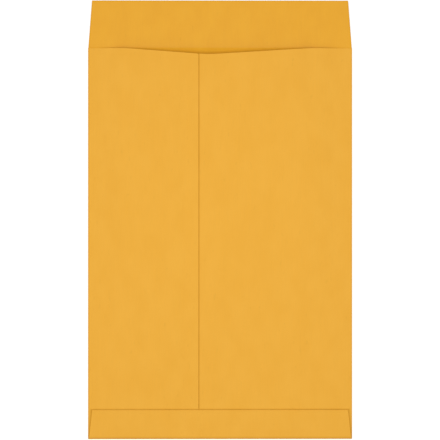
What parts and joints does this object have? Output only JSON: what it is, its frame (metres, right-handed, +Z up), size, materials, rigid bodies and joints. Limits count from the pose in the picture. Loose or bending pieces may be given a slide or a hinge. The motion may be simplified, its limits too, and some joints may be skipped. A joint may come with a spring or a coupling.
{
  "type": "kraft envelope",
  "caption": "Jumbo open-end paper envelope, empty, lying on its front with its throat flap open, a glued seam and a glued bottom flap.",
  "frame": {"origin": "under the middle of the envelope's length and width with its flap open, on the surface it lies on", "axes": "+X across the envelope, +Y from its bottom fold to its throat flap, +Z up from its front panel to its seam side"},
  "size_m": [0.3174, 0.527, 0.0107],
  "materials": {
    "kraft": "matt machine-finished brown kraft paper"
  },
  "bodies": {
    "root": {"envelope": "kraft"}
  },
  "joints": []
}
